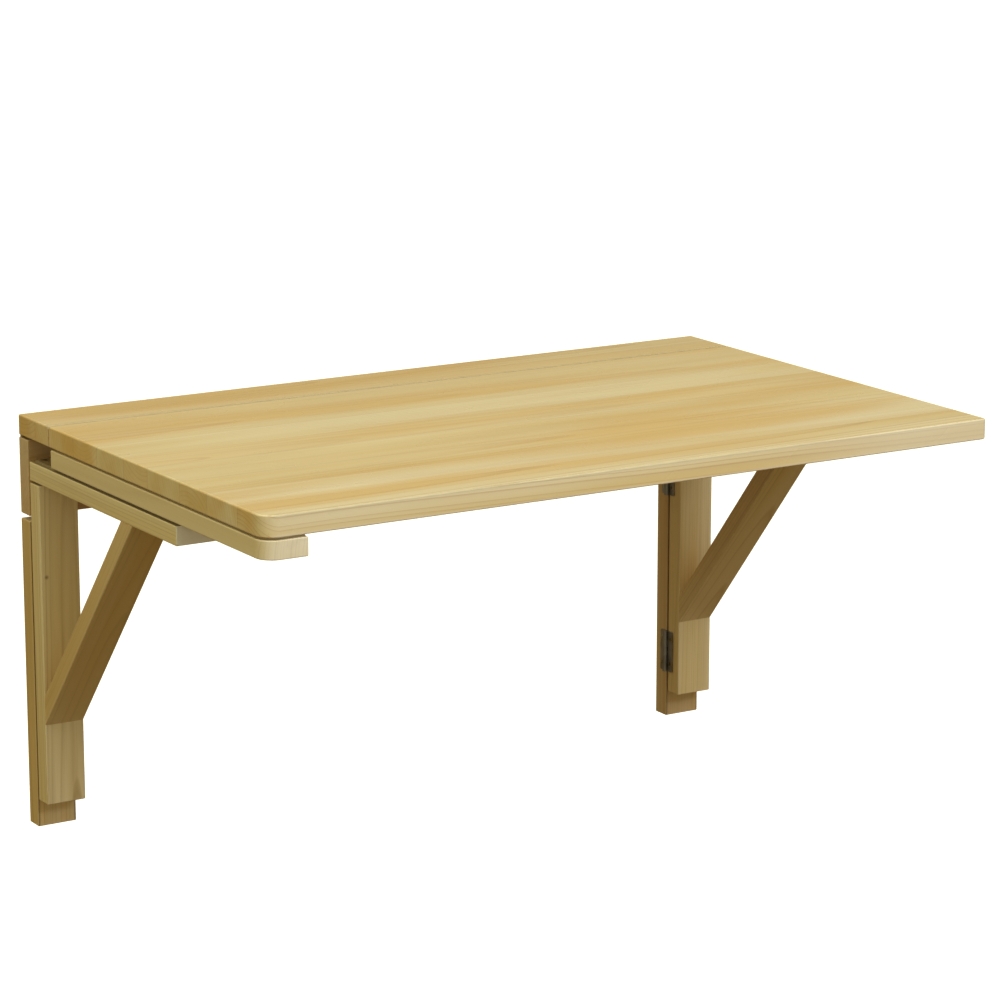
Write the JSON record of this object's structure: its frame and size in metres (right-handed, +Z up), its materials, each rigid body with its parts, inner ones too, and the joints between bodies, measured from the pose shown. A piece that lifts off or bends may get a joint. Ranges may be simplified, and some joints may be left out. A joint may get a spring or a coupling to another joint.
{
  "type": "wall-mounted folding table",
  "caption": "Pine wall table: a leaf hinged to a fixed rear strip on a wall rail, carried by triangular brackets that swing in on butt hinges so that the leaf can fold down.",
  "frame": {"origin": "middle of the wall rail's back face, in the plane of the wall", "axes": "+X along the wall to the right as seen from the room, +Y into the wall, +Z up"},
  "size_m": [0.7, 0.45, 0.3675],
  "materials": {
    "pine_top": "clear gloss lacquer on edge-glued pine",
    "pine_batten": "clear satin lacquer on pine",
    "pine_wall": "clear satin lacquer on pine",
    "pine_bracket": "clear satin lacquer on pine",
    "hinge_steel": "dark bronzed steel",
    "screw_steel": "zinc-plated, yellow-grey",
    "beech_dowel": "bare fluted dowel"
  },
  "bodies": {
    "wall_frame": {"wall_rail": "pine_wall", "rear_strip": "pine_top", "strip_dowels": "beech_dowel", "strip_hinge_plates": "hinge_steel", "strip_hinge_screws": "screw_steel", "leaf_hinge_pins": "hinge_steel", "left_wall_post": "pine_wall", "right_wall_post": "pine_wall", "left_post_hinge_plates": "hinge_steel", "right_post_hinge_plates": "hinge_steel", "post_hinge_screws": "screw_steel", "bracket_hinge_pins": "hinge_steel"},
    "leaf": {"leaf_panel": "pine_top", "left_batten": "pine_batten", "right_batten": "pine_batten", "batten_screws": "screw_steel", "leaf_hinge_plates": "hinge_steel", "leaf_hinge_screws": "screw_steel"},
    "left_bracket": {"left_arm": "pine_bracket", "left_upright": "pine_bracket", "left_brace": "pine_bracket", "left_bracket_screws": "screw_steel", "left_bracket_hinge_plates": "hinge_steel", "left_bracket_hinge_screws": "screw_steel"},
    "right_bracket": {"right_arm": "pine_bracket", "right_upright": "pine_bracket", "right_brace": "pine_bracket", "right_bracket_screws": "screw_steel", "right_bracket_hinge_plates": "hinge_steel", "right_bracket_hinge_screws": "screw_steel"}
  },
  "joints": [
    {"name": "leaf_lift", "type": "hinge", "parent": "wall_frame", "child": "leaf", "pos_m": [0, -0.0611, 0.0319], "axis": [-1, 0, 0], "range_deg": [0, 5]},
    {"name": "left_bracket_swing", "type": "hinge", "parent": "wall_frame", "child": "left_bracket", "pos_m": [-0.3109, -0.01925, 0], "axis": [0, 0, 1], "range_deg": [0, 90]},
    {"name": "right_bracket_swing", "type": "hinge", "parent": "wall_frame", "child": "right_bracket", "pos_m": [0.3109, -0.01925, 0], "axis": [0, 0, -1], "range_deg": [0, 90]}
  ]
}
